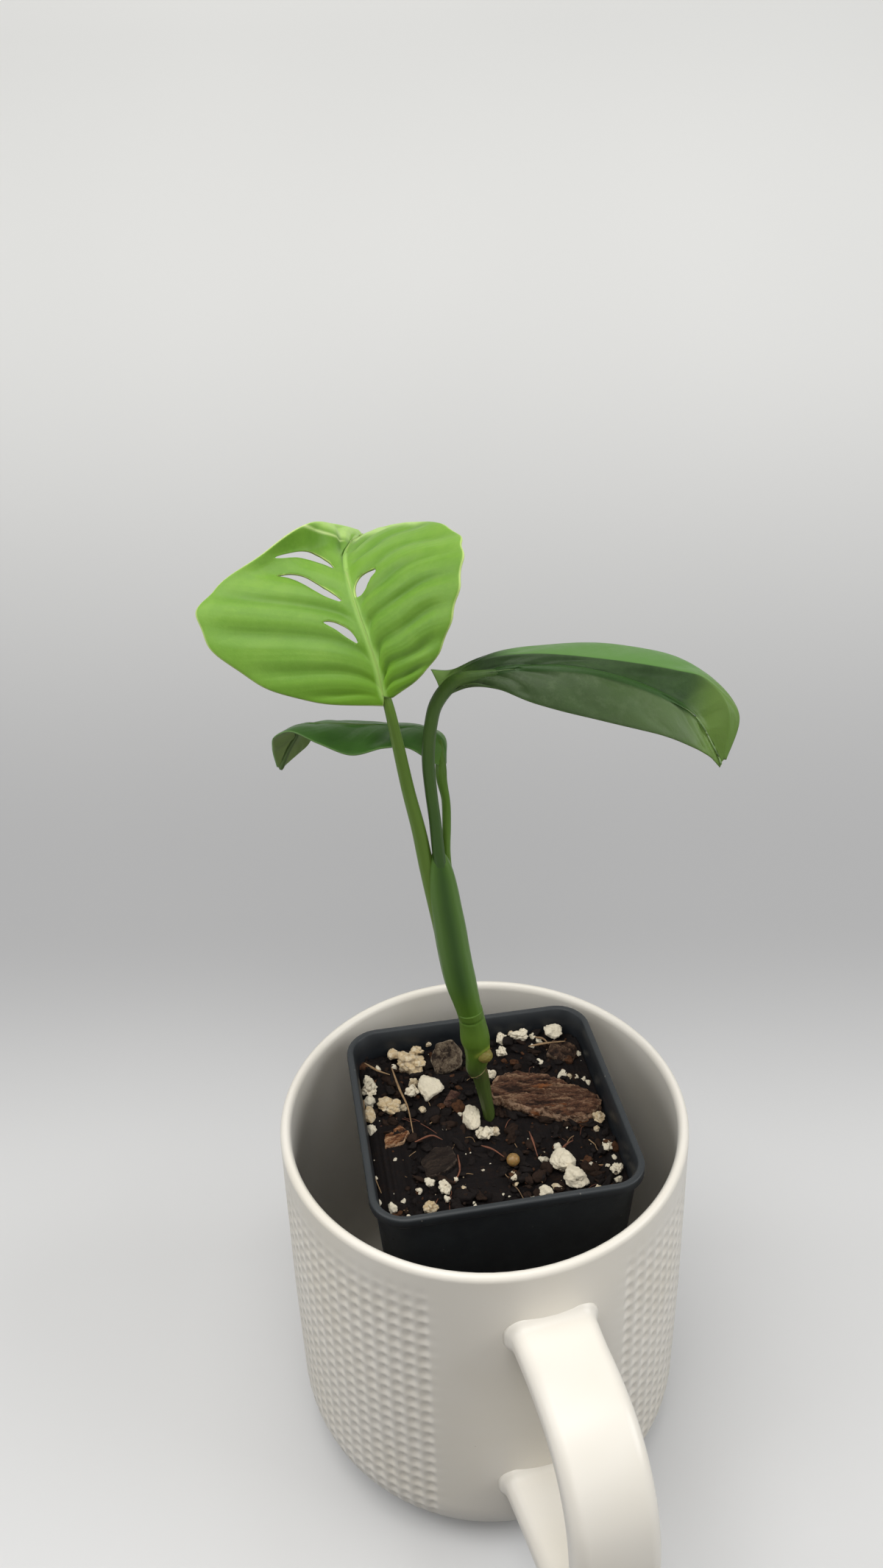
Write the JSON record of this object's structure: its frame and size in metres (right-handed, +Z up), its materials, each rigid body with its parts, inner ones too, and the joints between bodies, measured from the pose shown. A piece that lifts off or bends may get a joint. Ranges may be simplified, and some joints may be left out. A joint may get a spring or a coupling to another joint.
{
  "type": "potted monstera esqueleto",
  "caption": "Young monstera esqueleto with holed leaves on slender stalks, rooted in a square nursery pot that stands in a white dimpled porcelain mug with a handle.",
  "frame": {"origin": "centre of the mug's flat foot, on the surface that the mug stands on", "axes": "+Z up the mug's axis; the mug's handle points along -Y"},
  "size_m": [0.0986, 0.146, 0.2307],
  "materials": {
    "porcelain": "satin white glazed porcelain with rows of small dimples and a smooth strap handle",
    "pot_plastic": "thin black moulded plastic, satin, scuffed paler along the lip",
    "potting_mix": "damp black-brown chunky potting mix, fully matte",
    "perlite": "porous off-white perlite, matte, stained tan in places",
    "bark": "fibrous brown bark chips, matte",
    "feed_bead": "glossy amber coated feed bead",
    "stem_green": "smooth waxy green stem with a tan ring scar, satin",
    "leaf_new": "young bright yellow-green leaf, satin, a little translucent, furrowed along its veins",
    "leaf_old": "grown mid-green leaf, satin, its underside paler and greyer",
    "leaf_dark": "dark green leaf, satin"
  },
  "bodies": {
    "root": {"mug": "porcelain", "nursery_pot": "pot_plastic", "potting_mix": "potting_mix", "perlite_01": "perlite", "perlite_02": "perlite", "perlite_03": "perlite", "perlite_04": "perlite", "perlite_05": "perlite", "perlite_06": "perlite", "perlite_07": "perlite", "perlite_08": "perlite", "perlite_09": "perlite", "perlite_10": "perlite", "perlite_11": "perlite", "perlite_12": "perlite", "perlite_13": "perlite", "perlite_14": "perlite", "perlite_15": "perlite", "perlite_16": "perlite", "perlite_17": "perlite", "perlite_18": "perlite", "perlite_19": "perlite", "perlite_20": "perlite", "perlite_21": "perlite", "perlite_22": "perlite", "bark_long": "bark", "bark_grey": "bark", "bark_orange": "bark", "bark_dark": "bark", "bark_flat": "bark", "bark_red": "bark", "feed_bead": "feed_bead", "stem": "stem_green", "leaf_a": "leaf_new", "leaf_b": "leaf_old", "leaf_c": "leaf_dark"}
  },
  "joints": []
}
